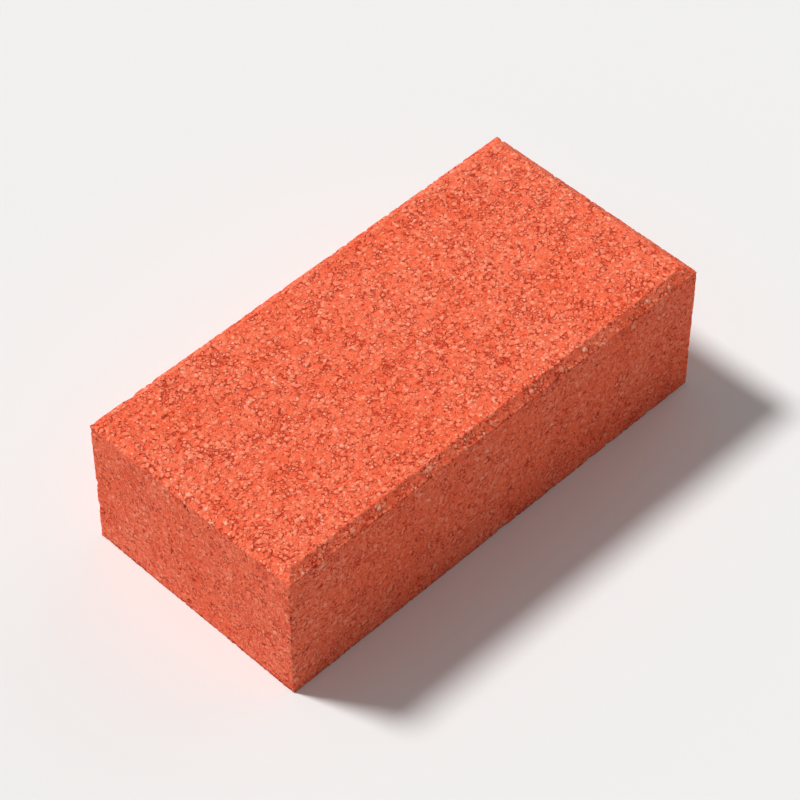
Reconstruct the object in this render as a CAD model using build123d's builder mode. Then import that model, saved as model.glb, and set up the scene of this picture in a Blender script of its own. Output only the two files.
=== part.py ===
"""Concrete paving stone: one rectangular block, pressed in a steel mould in one stroke.

The block is solid and through-coloured. Its wearing face has a bevel all round, which is
mitred at the corners, its sides are plumb, and its bed face is flat with plain edges.

Millimetres, +Z up. The origin is the middle of the bed face, X runs along the stone and
Y across it.
"""

import os

from build123d import *

# Laying grid, from the middle of one joint to the middle of the next
grid_length = 200.0
grid_width = 100.0
joint_gap = 3.0  # open gap that a laid stone keeps to its neighbour

# Block
thickness = 60.0  # from the bed face to the wearing face
corner_radius = 1.0  # of the four upright corners

# Bevel round the wearing face
bevel_width = 4.0  # how far it reaches in over the face, seen from above
bevel_depth = 3.0  # how far it goes down the sides

length = grid_length - joint_gap
width = grid_width - joint_gap


with BuildPart() as paving_stone:
    with BuildSketch(Plane.XY):
        Rectangle(length, width)
    extrude(amount=thickness)

    # The bevel comes before the corner radii, so that it keeps its width round each corner
    wearing_face = paving_stone.faces().sort_by(Axis.Z)[-1]
    chamfer(wearing_face.edges(), bevel_width, bevel_depth, reference=wearing_face)

    upright_corners = paving_stone.edges().filter_by(Axis.Z)
    fillet(upright_corners, corner_radius)

paving_stone.part.label = "paving_stone"

os.makedirs("parts", exist_ok=True)
export_step(paving_stone.part, "parts/paving_stone.step")
print(f"paving_stone: {length:g} x {width:g} x {thickness:g} mm")
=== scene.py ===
"""Concrete paving stone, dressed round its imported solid. Metres, +Z up, bed face on the floor."""

import math

import bpy
import numpy as np
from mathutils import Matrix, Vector, noise


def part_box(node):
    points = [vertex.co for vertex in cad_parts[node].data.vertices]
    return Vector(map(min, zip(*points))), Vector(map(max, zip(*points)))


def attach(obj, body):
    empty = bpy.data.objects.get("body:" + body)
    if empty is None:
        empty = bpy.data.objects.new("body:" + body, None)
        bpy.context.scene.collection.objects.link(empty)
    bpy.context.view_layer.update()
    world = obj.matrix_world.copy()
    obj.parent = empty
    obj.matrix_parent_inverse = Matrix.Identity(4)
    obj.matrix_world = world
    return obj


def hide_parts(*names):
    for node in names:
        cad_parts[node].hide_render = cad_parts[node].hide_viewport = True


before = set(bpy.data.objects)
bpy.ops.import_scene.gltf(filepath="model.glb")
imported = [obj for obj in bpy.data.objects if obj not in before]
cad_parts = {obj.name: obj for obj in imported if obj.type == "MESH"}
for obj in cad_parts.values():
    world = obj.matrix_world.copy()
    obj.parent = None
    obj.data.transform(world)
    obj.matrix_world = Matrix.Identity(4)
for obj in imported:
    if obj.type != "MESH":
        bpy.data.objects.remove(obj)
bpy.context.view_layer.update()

MM = 0.001


# Pressed block
# The real stone is one block of through-coloured concrete: sand, fine chippings, cement and
# an orange oxide pigment, tamped nearly dry into a steel mould and pushed straight out of it.
# So its faces are flat but granular, its arrises are a little soft, and small pits stay open.

half_length, half_width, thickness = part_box("paving_stone")[1]

near = 0.01 * MM
cad_points = np.array([v.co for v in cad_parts["paving_stone"].data.vertices])
on_top = cad_points[cad_points[:, 2] > thickness - near]
on_end = cad_points[cad_points[:, 0] > half_length - near]
bevel_width = half_length - on_top[:, 0].max()
side_height = on_end[:, 2].max()
bevel_depth = thickness - side_height
corner_radius = half_width - on_end[:, 1].max()

# Cells are counted in steps of the finest one, on the wearing face. Sides take cells of two
# steps below their top band, and the bed takes cells of four.
step = 0.575 * MM
bevel_steps = 8
band_steps = 8
side_cell = 2
bed_cell = 4


def even_steps(length):
    """How many steps a stretch takes, as a whole number of the largest cells."""
    return bed_cell * round(length / step / bed_cell)


def grid_lines(half):
    """Where the lines of steps cross a side of the block, with the bevel's lines at each end."""
    inner = half - bevel_width
    flat = np.linspace(-inner, inner, even_steps(2 * inner) + 1)
    bevel = np.linspace(inner, half, bevel_steps + 1)[1:]
    return np.concatenate([-bevel[::-1], flat, bevel])


lines_x = grid_lines(half_length)
lines_y = grid_lines(half_width)
lines_z = np.linspace(0, side_height, even_steps(side_height) + 1)
count_x, count_y, count_z = len(lines_x) - 1, len(lines_y) - 1, len(lines_z) - 1


def block_cells():
    """The surface as square cells: lists of corners as (x, y, z) step numbers, seen from outside."""
    cells = []

    def tile(place, count_u, start_v, end_v, size):
        for u in range(0, count_u, size):
            for v in range(start_v, end_v, size):
                ring = ((u, v), (u + size, v), (u + size, v + size), (u, v + size))
                cells.append([place(*corner) for corner in ring])

    tile(lambda u, v: (u, v, count_z), count_x, 0, count_y, 1)
    tile(lambda u, v: (v, u, 0), count_y, 0, count_x, bed_cell)
    low_rows = count_z - band_steps
    for start, end, size in ((0, low_rows, side_cell), (low_rows, count_z, 1)):
        tile(lambda u, v: (u, 0, v), count_x, start, end, size)
        tile(lambda u, v: (count_x - u, count_y, v), count_x, start, end, size)
        tile(lambda u, v: (count_x, u, v), count_y, start, end, size)
        tile(lambda u, v: (0, count_y - u, v), count_y, start, end, size)
    return cells


def join_cells(cells):
    """Vertices and faces. A large cell beside small ones takes up their corners on its edges."""
    number = {}
    for cell in cells:
        for corner in cell:
            number.setdefault(corner, len(number))
    faces = []
    for cell in cells:
        face = []
        for start, end in zip(cell, cell[1:] + cell[:1]):
            gap = max(abs(e - s) for s, e in zip(start, end))
            for i in range(gap):
                between = tuple(s + (e - s) * i // gap for s, e in zip(start, end))
                if between in number:
                    face.append(number[between])
        faces.append(face)
    return np.array(list(number)), faces


def round_corners(points):
    """Draws the four upright corners in to their radius."""
    inner = np.array([half_length - corner_radius, half_width - corner_radius])
    over = np.maximum(np.abs(points[:, :2]) - inner, 0)
    reach = np.hypot(over[:, 0], over[:, 1])
    out = reach > corner_radius
    over[out] *= (corner_radius / reach[out])[:, None]
    inside = np.minimum(np.abs(points[:, :2]), inner)
    points[:, :2] = np.sign(points[:, :2]) * (inside + over)


def side_gaps(points):
    """How far each point is from the nearest end and the nearest side, seen from above."""
    return np.array([half_length, half_width]) - np.abs(points[:, :2])


steps, faces = join_cells(block_cells())
points = np.column_stack([lines_x[steps[:, 0]], lines_y[steps[:, 1]], lines_z[steps[:, 2]]])
round_corners(points)
drop = bevel_depth * np.clip(1 - side_gaps(points).min(axis=1) / bevel_width, 0, 1)
points[:, 2] *= (thickness - drop) / side_height

mesh = bpy.data.meshes.new("pressed_block")
mesh.from_pydata(points.tolist(), [], faces)
block = bpy.data.objects.new("pressed_block", mesh)
bpy.context.scene.collection.objects.link(block)

# Soft arrises: the concrete's corners lose their sharpness as the block leaves the mould
soften = block.modifiers.new("soft arrises", "SMOOTH")
soften.factor = 0.5
soften.iterations = 1
bpy.context.view_layer.update()
softened = block.evaluated_get(bpy.context.evaluated_depsgraph_get())
softened_mesh = softened.to_mesh()
points = np.array([v.co for v in softened_mesh.vertices])
outward = np.array([v.normal for v in softened_mesh.vertices])
softened.to_mesh_clear()
block.modifiers.clear()

# Relief, carved inwards from the mould's faces
chipping_size = 4.2 * MM
chipping_rise = 0.30 * MM
sand_size = 2.0 * MM
sand_rise = 0.32 * MM
paste_size = 1.8 * MM
paste_depth = 0.18 * MM
open_size = 11 * MM
wave_size = 38 * MM
wave_depth = 0.12 * MM
pit_size = 4.5 * MM
pit_depth = 0.6 * MM
spot_size = 15 * MM
spot_depth = 0.3 * MM
arris_reach = 1.2 * MM
arris_hold = 0.6
crumb_reach = 1.5 * MM
crumb_size = 2.6 * MM
crumb_depth = 0.5 * MM
drag_width = 2.0 * MM
drag_length = 30 * MM
drag_depth = 0.10 * MM


def ramp(value, start, end):
    """0 at start and 1 at end, smooth between them."""
    t = np.clip((value - start) / (end - start), 0, 1)
    return t * t * (3 - 2 * t)


def field(size, octaves, shift):
    """Smooth noise at each point, about -1 to 1, with features of the given size."""
    offset = Vector((shift, -shift, 2 * shift))
    return np.array(
        [noise.fractal(Vector(p) / size + offset, 1.0, 2.0, octaves) for p in points]
    )


def scattered(size, shift, stir, share, radii):
    """Lumps in a share of the cells of the given size: their domes, 0 to 1, and a lot for each.

    Radii gives the smallest and the largest, in cells, and the stir makes the outlines uneven.
    """
    smallest, largest = radii
    offset = Vector((shift, 2 * shift, -shift))
    domes, lots = [], []
    for p in points:
        at = Vector(p) / size + offset
        at += stir * noise.noise_vector(at * 1.7)
        distances, middles = noise.voronoi(at)
        lot = 0.5 + 0.5 * noise.cell(middles[0] * 97.3)
        girth = 0.5 + 0.5 * noise.cell(middles[0] * 31.1)
        radius = smallest + (largest - smallest) * girth
        inside = max(0.0, 1 - distances[0] / radius) if lot < share else 0.0
        domes.append(1 - (1 - inside) ** 2)
        lots.append(lot / share)
    return np.array(domes), np.array(lots)


# The stir of the lumps hangs on this seed, so every run strews the same ones
noise.seed_set(7)

top_share = ramp(outward[:, 2], 0.3, 0.7)
bed_share = ramp(-outward[:, 2], 0.3, 0.7)
side_share = 1 - top_share - bed_share

# Where the mix closed badly, the paste sinks between the grains
openness = ramp(field(open_size, octaves=3, shift=7.7), -0.15, 0.75)

chipping, chipping_lot = scattered(chipping_size, shift=5.0, stir=0.25, share=0.6, radii=(0.3, 0.55))
sand, sand_lot = scattered(sand_size, shift=11.0, stir=0.3, share=0.85, radii=(0.35, 0.7))
rise = np.maximum(
    chipping_rise * chipping * (0.4 + 0.6 * chipping_lot),
    sand_rise * sand * (0.4 + 0.6 * sand_lot),
)
paste = paste_depth * (0.5 + 0.8 * field(paste_size, octaves=3, shift=17.0)) * (0.8 + 0.5 * openness)
bed_depth = 0.8 * chipping_rise + 0.2 * sand_rise * openness
packed = np.maximum(bed_depth + paste - rise, 0)

# In a few spots the mould filled badly, and the grains stand bare of paste
spot_dome, spot_lot = scattered(spot_size, shift=41.0, stir=0.5, share=0.4, radii=(0.15, 0.3))
spot = spot_dome * (0.3 + 0.7 * spot_lot)
packed += spot_depth * spot * (1 - np.maximum(chipping, sand))

# Pits, where no grain came to lie against the mould
pit_dome, pit_lot = scattered(pit_size, shift=23.0, stir=0.9, share=0.35, radii=(0.14, 0.28))
pit = pit_dome * (0.5 + 0.5 * pit_lot)

# Streaks that the mould's walls leave as the block slides out
drag_size = np.array([drag_width, drag_width, drag_length])
drag = np.array([noise.noise(Vector(p / drag_size)) for p in points])

# Distance to the nearest arris, for the crumbs lost there
gaps_to_sides = side_gaps(points)
from_side = gaps_to_sides.min(axis=1)
to_arris = np.minimum(np.abs(from_side - bevel_width), from_side)
on_side = points[:, 2] < side_height
to_corner = np.hypot(*gaps_to_sides.T)
side_arris = np.minimum(np.minimum(side_height - points[:, 2], points[:, 2]), to_corner)
to_arris[on_side] = side_arris[on_side]
crumbs = ramp(field(crumb_size, octaves=3, shift=31.0), 0.1, 0.8) * (1 - ramp(to_arris, 0, crumb_reach))

# The mould's corners press the mix closest, so the arrises stay straight
depth = packed * (1 - arris_hold * (1 - ramp(to_arris, 0, arris_reach)))
depth += wave_depth * (0.5 + 0.5 * field(wave_size, octaves=2, shift=3.1))
depth += pit_depth * pit * (0.7 + 0.6 * side_share)
depth += crumb_depth * crumbs
depth += drag_depth * side_share * (0.5 + 0.5 * drag)
points = points - outward * np.maximum(depth, 0)[:, None]

mesh.vertices.foreach_set("co", points.astype(np.float32).ravel())
mesh.update()
mesh.shade_smooth()


def keep_mask(name, values):
    """Stores a value for each vertex, for the material to read."""
    mask = mesh.attributes.new(name, "FLOAT", "POINT")
    mask.data.foreach_set("value", values.astype(np.float32))


# The hollow mask marks where the carved relief lies deep, and the material paints shade there
keep_mask("hollow", np.clip(packed / (chipping_rise + paste_depth), 0, 1))
# The pit mask marks the pits and the crumbs at the arrises, and the material paints shade there
keep_mask("pit", np.clip(pit + 0.5 * crumbs, 0, 1))
keep_mask("spot", spot)
keep_mask("chipping", chipping * (2 * chipping_lot - 1))
keep_mask("openness", openness)
keep_mask("side", side_share)


# Concrete: orange oxide in the cement, which coats paler and darker grains of sand


def linear(red, green, blue):
    """A colour as seen on a screen, 0 to 255, as the shader takes it."""
    parts = (c / 255 for c in (red, green, blue))
    return tuple(c / 12.92 if c <= 0.04045 else ((c + 0.055) / 1.055) ** 2.4 for c in parts) + (1,)


pale_paste = linear(255, 138, 103)
full_paste = linear(255, 123, 85)
gritty_paste = linear(240, 92, 54)
thick_paste_and_shade = linear(242, 80, 42)
thin_paste_and_highlight = linear(255, 180, 154)
painted_hollow_shade = linear(228, 74, 38)
pale_sand = linear(255, 186, 156)
pale_chipping = linear(255, 170, 142)
red_chipping = linear(242, 88, 50)
bare_speck = linear(255, 188, 162)
painted_pinhole_shade = linear(184, 46, 18)
painted_crevice_shade = linear(188, 42, 14)
painted_pit_shade = linear(168, 40, 16)

coarse_grain = 2.1 * MM
medium_grain = 1.25 * MM
fine_grain = 0.7 * MM
dust_size = 0.5 * MM
gap_size = 1.6 * MM
patch_size = 3.2 * MM
mottle_size = 34 * MM
streak_width = 1.3 * MM
streak_length = 26 * MM
bump_distance = 1.25 * MM


def wire(tree, kind, inputs=None, **settings):
    """A shader node in a tree, with its settings, and its sockets set or linked."""
    made = tree.nodes.new(kind)
    for name, value in settings.items():
        setattr(made, name, value)
    for socket, value in (inputs or {}).items():
        if isinstance(value, bpy.types.NodeSocket):
            tree.links.new(value, made.inputs[socket])
        else:
            made.inputs[socket].default_value = value
    return made


def reach(tree, value, start, end, low=0.0, high=1.0):
    """A value's stretch from start to end, as low to high."""
    span = {"Value": value, "From Min": start, "From Max": end, "To Min": low, "To Max": high}
    made = wire(tree, "ShaderNodeMapRange", span, interpolation_type="SMOOTHSTEP")
    return made.outputs["Result"]


def reckon(tree, operation, *values):
    """Values put together by a Math node."""
    return wire(tree, "ShaderNodeMath", dict(enumerate(values)), operation=operation).outputs[0]


def reckon_place(tree, operation, place, by):
    """A place moved or stretched by a Vector Math node, or scaled by a number."""
    second = "Scale" if operation == "SCALE" else 1
    return wire(tree, "ShaderNodeVectorMath", {0: place, second: by}, operation=operation).outputs[0]


def noise_at(tree, place, size, rough):
    """Noise with features of the given size in metres."""
    look = {"Vector": place, "Scale": 1 / size, "Detail": 3, "Roughness": rough}
    return wire(tree, "ShaderNodeTexNoise", look).outputs["Fac"]


# Grains of about one size strewn one to a cell, some cells left bare: rounded, with soft outlines.
# Dome is a grain's height, Lot a random draw for it and Foot the ring round it, each 0 to 1.
grains = bpy.data.node_groups.new("strewn_grains", "ShaderNodeTree")
grains.interface.new_socket("Place", in_out="INPUT", socket_type="NodeSocketVector")
for name in ("Cells per metre", "Bare share", "Stir"):
    grains.interface.new_socket(name, in_out="INPUT", socket_type="NodeSocketFloat")
for name in ("Dome", "Lot", "Foot"):
    grains.interface.new_socket(name, in_out="OUTPUT", socket_type="NodeSocketFloat")
given = grains.nodes.new("NodeGroupInput").outputs
stir_scale = reckon(grains, "MULTIPLY", given["Cells per metre"], 1.6)
stir = {"Vector": given["Place"], "Scale": stir_scale, "Detail": 2.0}
stirred = wire(grains, "ShaderNodeTexNoise", stir).outputs["Color"]
centred = reckon_place(grains, "SUBTRACT", stirred, (0.5, 0.5, 0.5))
amount = reckon(grains, "DIVIDE", given["Stir"], given["Cells per metre"])
moved = reckon_place(grains, "SCALE", centred, amount)
shifted = reckon_place(grains, "ADD", given["Place"], moved)
spread = {"Vector": shifted, "Scale": given["Cells per metre"], "Randomness": 1.0}
cells = wire(grains, "ShaderNodeTexVoronoi", spread).outputs
lots = wire(grains, "ShaderNodeSeparateColor", {"Color": cells["Color"]}).outputs
radius = reach(grains, lots["Green"], 0, 1, 0.28, 0.58)
outside = reckon(grains, "DIVIDE", cells["Distance"], radius)
inside = reckon(grains, "SUBTRACT", 1.0, reckon(grains, "MINIMUM", outside, 1.0))
flank = reckon(grains, "SUBTRACT", 1.0, inside)
dome = reckon(grains, "SUBTRACT", 1.0, reckon(grains, "MULTIPLY", flank, flank))
kept = reckon(grains, "GREATER_THAN", lots["Red"], given["Bare share"])
dome = reckon(grains, "MULTIPLY", dome, kept)
foot = reckon(grains, "MULTIPLY", reach(grains, outside, 1.5, 1.1), kept)
wire(grains, "NodeGroupOutput", {"Dome": dome, "Lot": lots["Blue"], "Foot": foot})

concrete = bpy.data.materials.new("orange_concrete")
concrete.use_nodes = True
mix = concrete.node_tree
mix.nodes.clear()
place = wire(mix, "ShaderNodeTexCoord").outputs["Object"]


def mask(name):
    """A value stored for each vertex."""
    return wire(mix, "ShaderNodeAttribute", attribute_name=name).outputs["Fac"]


def grains_of(size, bare_share, stir):
    """The sockets of the strewn grains, one to a cell of this size."""
    inputs = {"Place": place, "Cells per metre": 1 / size, "Bare share": bare_share, "Stir": stir}
    return wire(mix, "ShaderNodeGroup", node_tree=grains, inputs=inputs).outputs


def lay(share, under, over):
    """Lays one colour over another, by a share of 0 to 1."""
    colours = {0: share, 6: under, 7: over}
    return wire(mix, "ShaderNodeMix", colours, data_type="RGBA").outputs[2]


coarse = grains_of(coarse_grain, bare_share=0.30, stir=0.7)
medium = grains_of(medium_grain, bare_share=0.20, stir=0.7)
fine = grains_of(fine_grain, bare_share=0.10, stir=0.6)
dust = noise_at(mix, place, dust_size, 0.65)
gaps = noise_at(mix, place, gap_size, 0.6)
mottle = noise_at(mix, place, mottle_size, 0.6)
patches = noise_at(mix, place, patch_size, 0.6)
open_share = reach(mix, reckon(mix, "MULTIPLY_ADD", mask("openness"), 0.18, patches), 0.40, 0.66)

# The mould's walls wipe the sides, so these are smoother, with fewer bare grains and with streaks
side = mask("side")
bump_strength = reckon(mix, "MULTIPLY_ADD", side, -0.2, 1.0)
bare_share = reckon(mix, "MULTIPLY_ADD", side, -0.55, 1.0)
tall = reckon_place(mix, "MULTIPLY", place, (1, 1, streak_width / streak_length))
streaks = reckon(mix, "MULTIPLY", noise_at(mix, tall, streak_width, 0.7), side)

# Relief of the grains over the paste, in parts of the bump's distance
coarse_rise = reckon(mix, "MULTIPLY_ADD", coarse["Lot"], 0.22, 0.08)
medium_rise = reckon(mix, "MULTIPLY_ADD", medium["Lot"], 0.15, 0.06)
height = reckon(mix, "MULTIPLY", coarse["Dome"], coarse_rise)
height = reckon(mix, "MAXIMUM", height, reckon(mix, "MULTIPLY", medium["Dome"], medium_rise))
clear = reach(mix, height, 0.06, 0.0)
height = reckon(mix, "MAXIMUM", height, reckon(mix, "MULTIPLY", fine["Dome"], 0.08))
height = reckon(mix, "MULTIPLY_ADD", dust, 0.12, height)
height = reckon(mix, "MULTIPLY_ADD", gaps, 0.12, height)

# Crevices stay open at the foot of the larger grains, in arcs, more of them where the mix is open
low_paste = reckon(mix, "MULTIPLY_ADD", open_share, -0.10, gaps)
low_paste = reckon(mix, "MULTIPLY_ADD", mask("spot"), -0.25, low_paste)
at_foot = reckon(mix, "MAXIMUM", coarse["Foot"], reckon(mix, "MULTIPLY", medium["Foot"], 0.8))
at_foot = reckon(mix, "MULTIPLY", at_foot, clear)
crevice = reckon(mix, "MULTIPLY", at_foot, reach(mix, low_paste, 0.48, 0.38))
height = reckon(mix, "MULTIPLY_ADD", crevice, -0.16, height)

# The same paste coats every grain: thin and pale on the high ones, thick and red in the hollows.
# Painted highlight also lies on the high ones, and painted shade in the low places, pits and crevices.
tone = lay(reach(mix, mottle, 0.35, 0.68), pale_paste, full_paste)
tone = lay(reach(mix, dust, 0.52, 0.36, 0, 0.4), tone, gritty_paste)
# Thicker paste and painted shade: the low places of the relief are darker and redder
tone = lay(reach(mix, height, 0.20, 0.10, 0, 0.7), tone, thick_paste_and_shade)
# Thinner paste and painted highlight: the high places of the relief are paler
high_share = reckon(mix, "MULTIPLY", reach(mix, height, 0.22, 0.38, 0, 0.85), bare_share)
tone = lay(high_share, tone, thin_paste_and_highlight)
for strewn in (coarse, medium):
    pale_share = reckon(mix, "MULTIPLY", reach(mix, strewn["Lot"], 0.9, 0.98), strewn["Dome"])
    tone = lay(reckon(mix, "MULTIPLY", pale_share, bare_share), tone, pale_sand)
tone = lay(reach(mix, mask("chipping"), 0.7, 0.95, 0, 0.5), tone, pale_chipping)
tone = lay(reach(mix, mask("chipping"), -0.5, -0.95, 0, 0.3), tone, red_chipping)
# Painted shade where the carved relief lies deep
tone = lay(reach(mix, mask("hollow"), 0.55, 1.0, 0, 0.4), tone, painted_hollow_shade)
speck = reckon(mix, "MULTIPLY", reach(mix, fine["Lot"], 0.9, 0.94, 0, 0.8), fine["Dome"])
tone = lay(reckon(mix, "MULTIPLY", speck, bare_share), tone, bare_speck)
# Painted shade of pinholes: dark specks on some of the fine grains
pinhole = reckon(mix, "MULTIPLY", reach(mix, fine["Lot"], 0.09, 0.05, 0, 0.9), fine["Dome"])
tone = lay(pinhole, tone, painted_pinhole_shade)
# Painted shade in the crevices at the foot of the grains
tone = lay(reckon(mix, "MULTIPLY", crevice, 0.95), tone, painted_crevice_shade)
# Painted shade in the pits and the crumbs at the arrises, broken up by the dust
ragged = reckon(mix, "MULTIPLY_ADD", dust, 0.9, mask("pit"))
tone = lay(reach(mix, ragged, 0.6, 0.9, 0, 0.85), tone, painted_pit_shade)

relief = reckon(mix, "MULTIPLY_ADD", streaks, 0.14, height)
shape = {"Height": relief, "Strength": bump_strength, "Distance": bump_distance}
finish = {
    "Base Color": tone,
    "Roughness": reach(mix, dust, 0.35, 0.65, 0.95, 0.82),
    "Normal": wire(mix, "ShaderNodeBump", shape).outputs["Normal"],
    "Specular IOR Level": 0.3,
}
shader = wire(mix, "ShaderNodeBsdfPrincipled", finish)
wire(mix, "ShaderNodeOutputMaterial", {"Surface": shader.outputs["BSDF"]})
mesh.materials.append(concrete)

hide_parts("paving_stone")
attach(block, "root")


# Floor
# A plain pale studio floor, a flat disc that is wide enough for every view to end on it or on
# the pale backdrop.

floor_radius = 4.0
floor_corners = 96

turns = np.linspace(0, 2 * math.pi, floor_corners, endpoint=False)
rim = [(floor_radius * math.cos(turn), floor_radius * math.sin(turn), 0) for turn in turns]
floor_mesh = bpy.data.meshes.new("floor")
floor_mesh.from_pydata(rim, [], [list(range(floor_corners))])
floor = bpy.data.objects.new("floor", floor_mesh)
bpy.context.scene.collection.objects.link(floor)

plaster = bpy.data.materials.new("pale_floor")
plaster.use_nodes = True
plaster_look = plaster.node_tree.nodes["Principled BSDF"].inputs
plaster_look["Base Color"].default_value = linear(234, 234, 233)
plaster_look["Roughness"].default_value = 0.9
floor_mesh.materials.append(plaster)


# Light
# One broad lamp from the left and behind, 55 degrees up, and a pale sky. A weak, very broad lamp
# from the right tells the two shaded faces apart.

sky_strength = 0.235
backdrop_strength = 0.885

for name, direction, strength, angle in (
    ("studio_lamp", (-0.195, 0.417, 0.65), 3.0, 12),
    ("fill_lamp", (0.9, 0.0, 0.35), 0.3, 60),
):
    lamp = bpy.data.lights.new(name, "SUN")
    lamp.energy = strength
    lamp.angle = math.radians(angle)
    lamp_object = bpy.data.objects.new(name, lamp)
    lamp_object.rotation_euler = Vector(direction).to_track_quat("Z", "Y").to_euler()
    bpy.context.scene.collection.objects.link(lamp_object)

world = bpy.data.worlds.new("studio")
bpy.context.scene.world = world
world.use_nodes = True
sky = world.node_tree
sky.nodes.clear()
path = wire(sky, "ShaderNodeLightPath").outputs
seen = reckon(sky, "ADD", path["Is Camera Ray"], path["Is Glossy Ray"])
seen = reckon(sky, "ADD", seen, path["Is Transmission Ray"])
levels = {"Value": seen, "To Min": sky_strength, "To Max": backdrop_strength}
level = wire(sky, "ShaderNodeMapRange", levels).outputs["Result"]
light = wire(sky, "ShaderNodeBackground", {"Color": (1, 1, 1, 1), "Strength": level})
wire(sky, "ShaderNodeOutputWorld", {"Surface": light.outputs["Background"]})

bpy.context.scene.view_settings.view_transform = "Standard"


# Camera
# It stands where the photo was taken from, and only turns to the stone and zooms in on it.

camera_place = Vector((-0.5111, -0.5093, 0.8425))
camera_target = Vector((0, 0, 0.5 * thickness))
camera = bpy.data.cameras.new("camera")
camera.sensor_width = 36
camera.lens = 141
camera_object = bpy.data.objects.new("camera", camera)
camera_object.location = camera_place
camera_object.rotation_euler = (camera_place - camera_target).to_track_quat("Z", "Y").to_euler()
bpy.context.scene.collection.objects.link(camera_object)
bpy.context.scene.camera = camera_object
